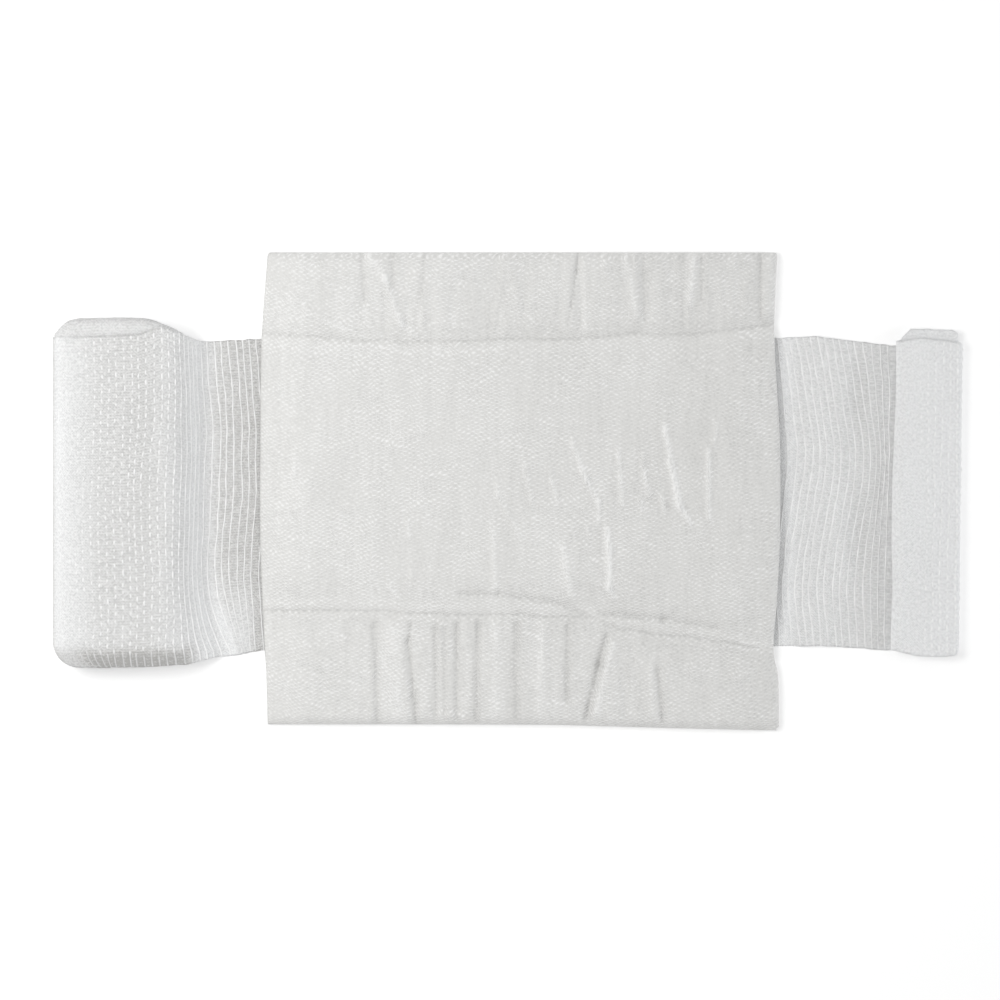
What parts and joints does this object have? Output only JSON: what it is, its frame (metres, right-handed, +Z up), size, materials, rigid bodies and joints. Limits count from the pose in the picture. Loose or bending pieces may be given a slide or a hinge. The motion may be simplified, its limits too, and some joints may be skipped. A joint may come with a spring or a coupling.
{
  "type": "wound dressing",
  "caption": "Unfolded wound dressing: a quilted absorbent pad across an open-weave gauze bandage, rolled up at one end and wound flat at the other.",
  "frame": {"origin": "middle of the pad, on the underside of the bandage where it rests on the surface", "axes": "+X along the bandage from the roll towards the short end, +Y across the bandage, +Z up, out of the pad's wound side"},
  "size_m": [0.3189, 0.1677, 0.018],
  "materials": {
    "pad_cover": "matte, finely embossed nonwoven",
    "gauze": "matte open weave"
  },
  "bodies": {
    "root": {"pad": "pad_cover", "bandage": "gauze", "bandage_roll": "gauze"}
  },
  "joints": []
}
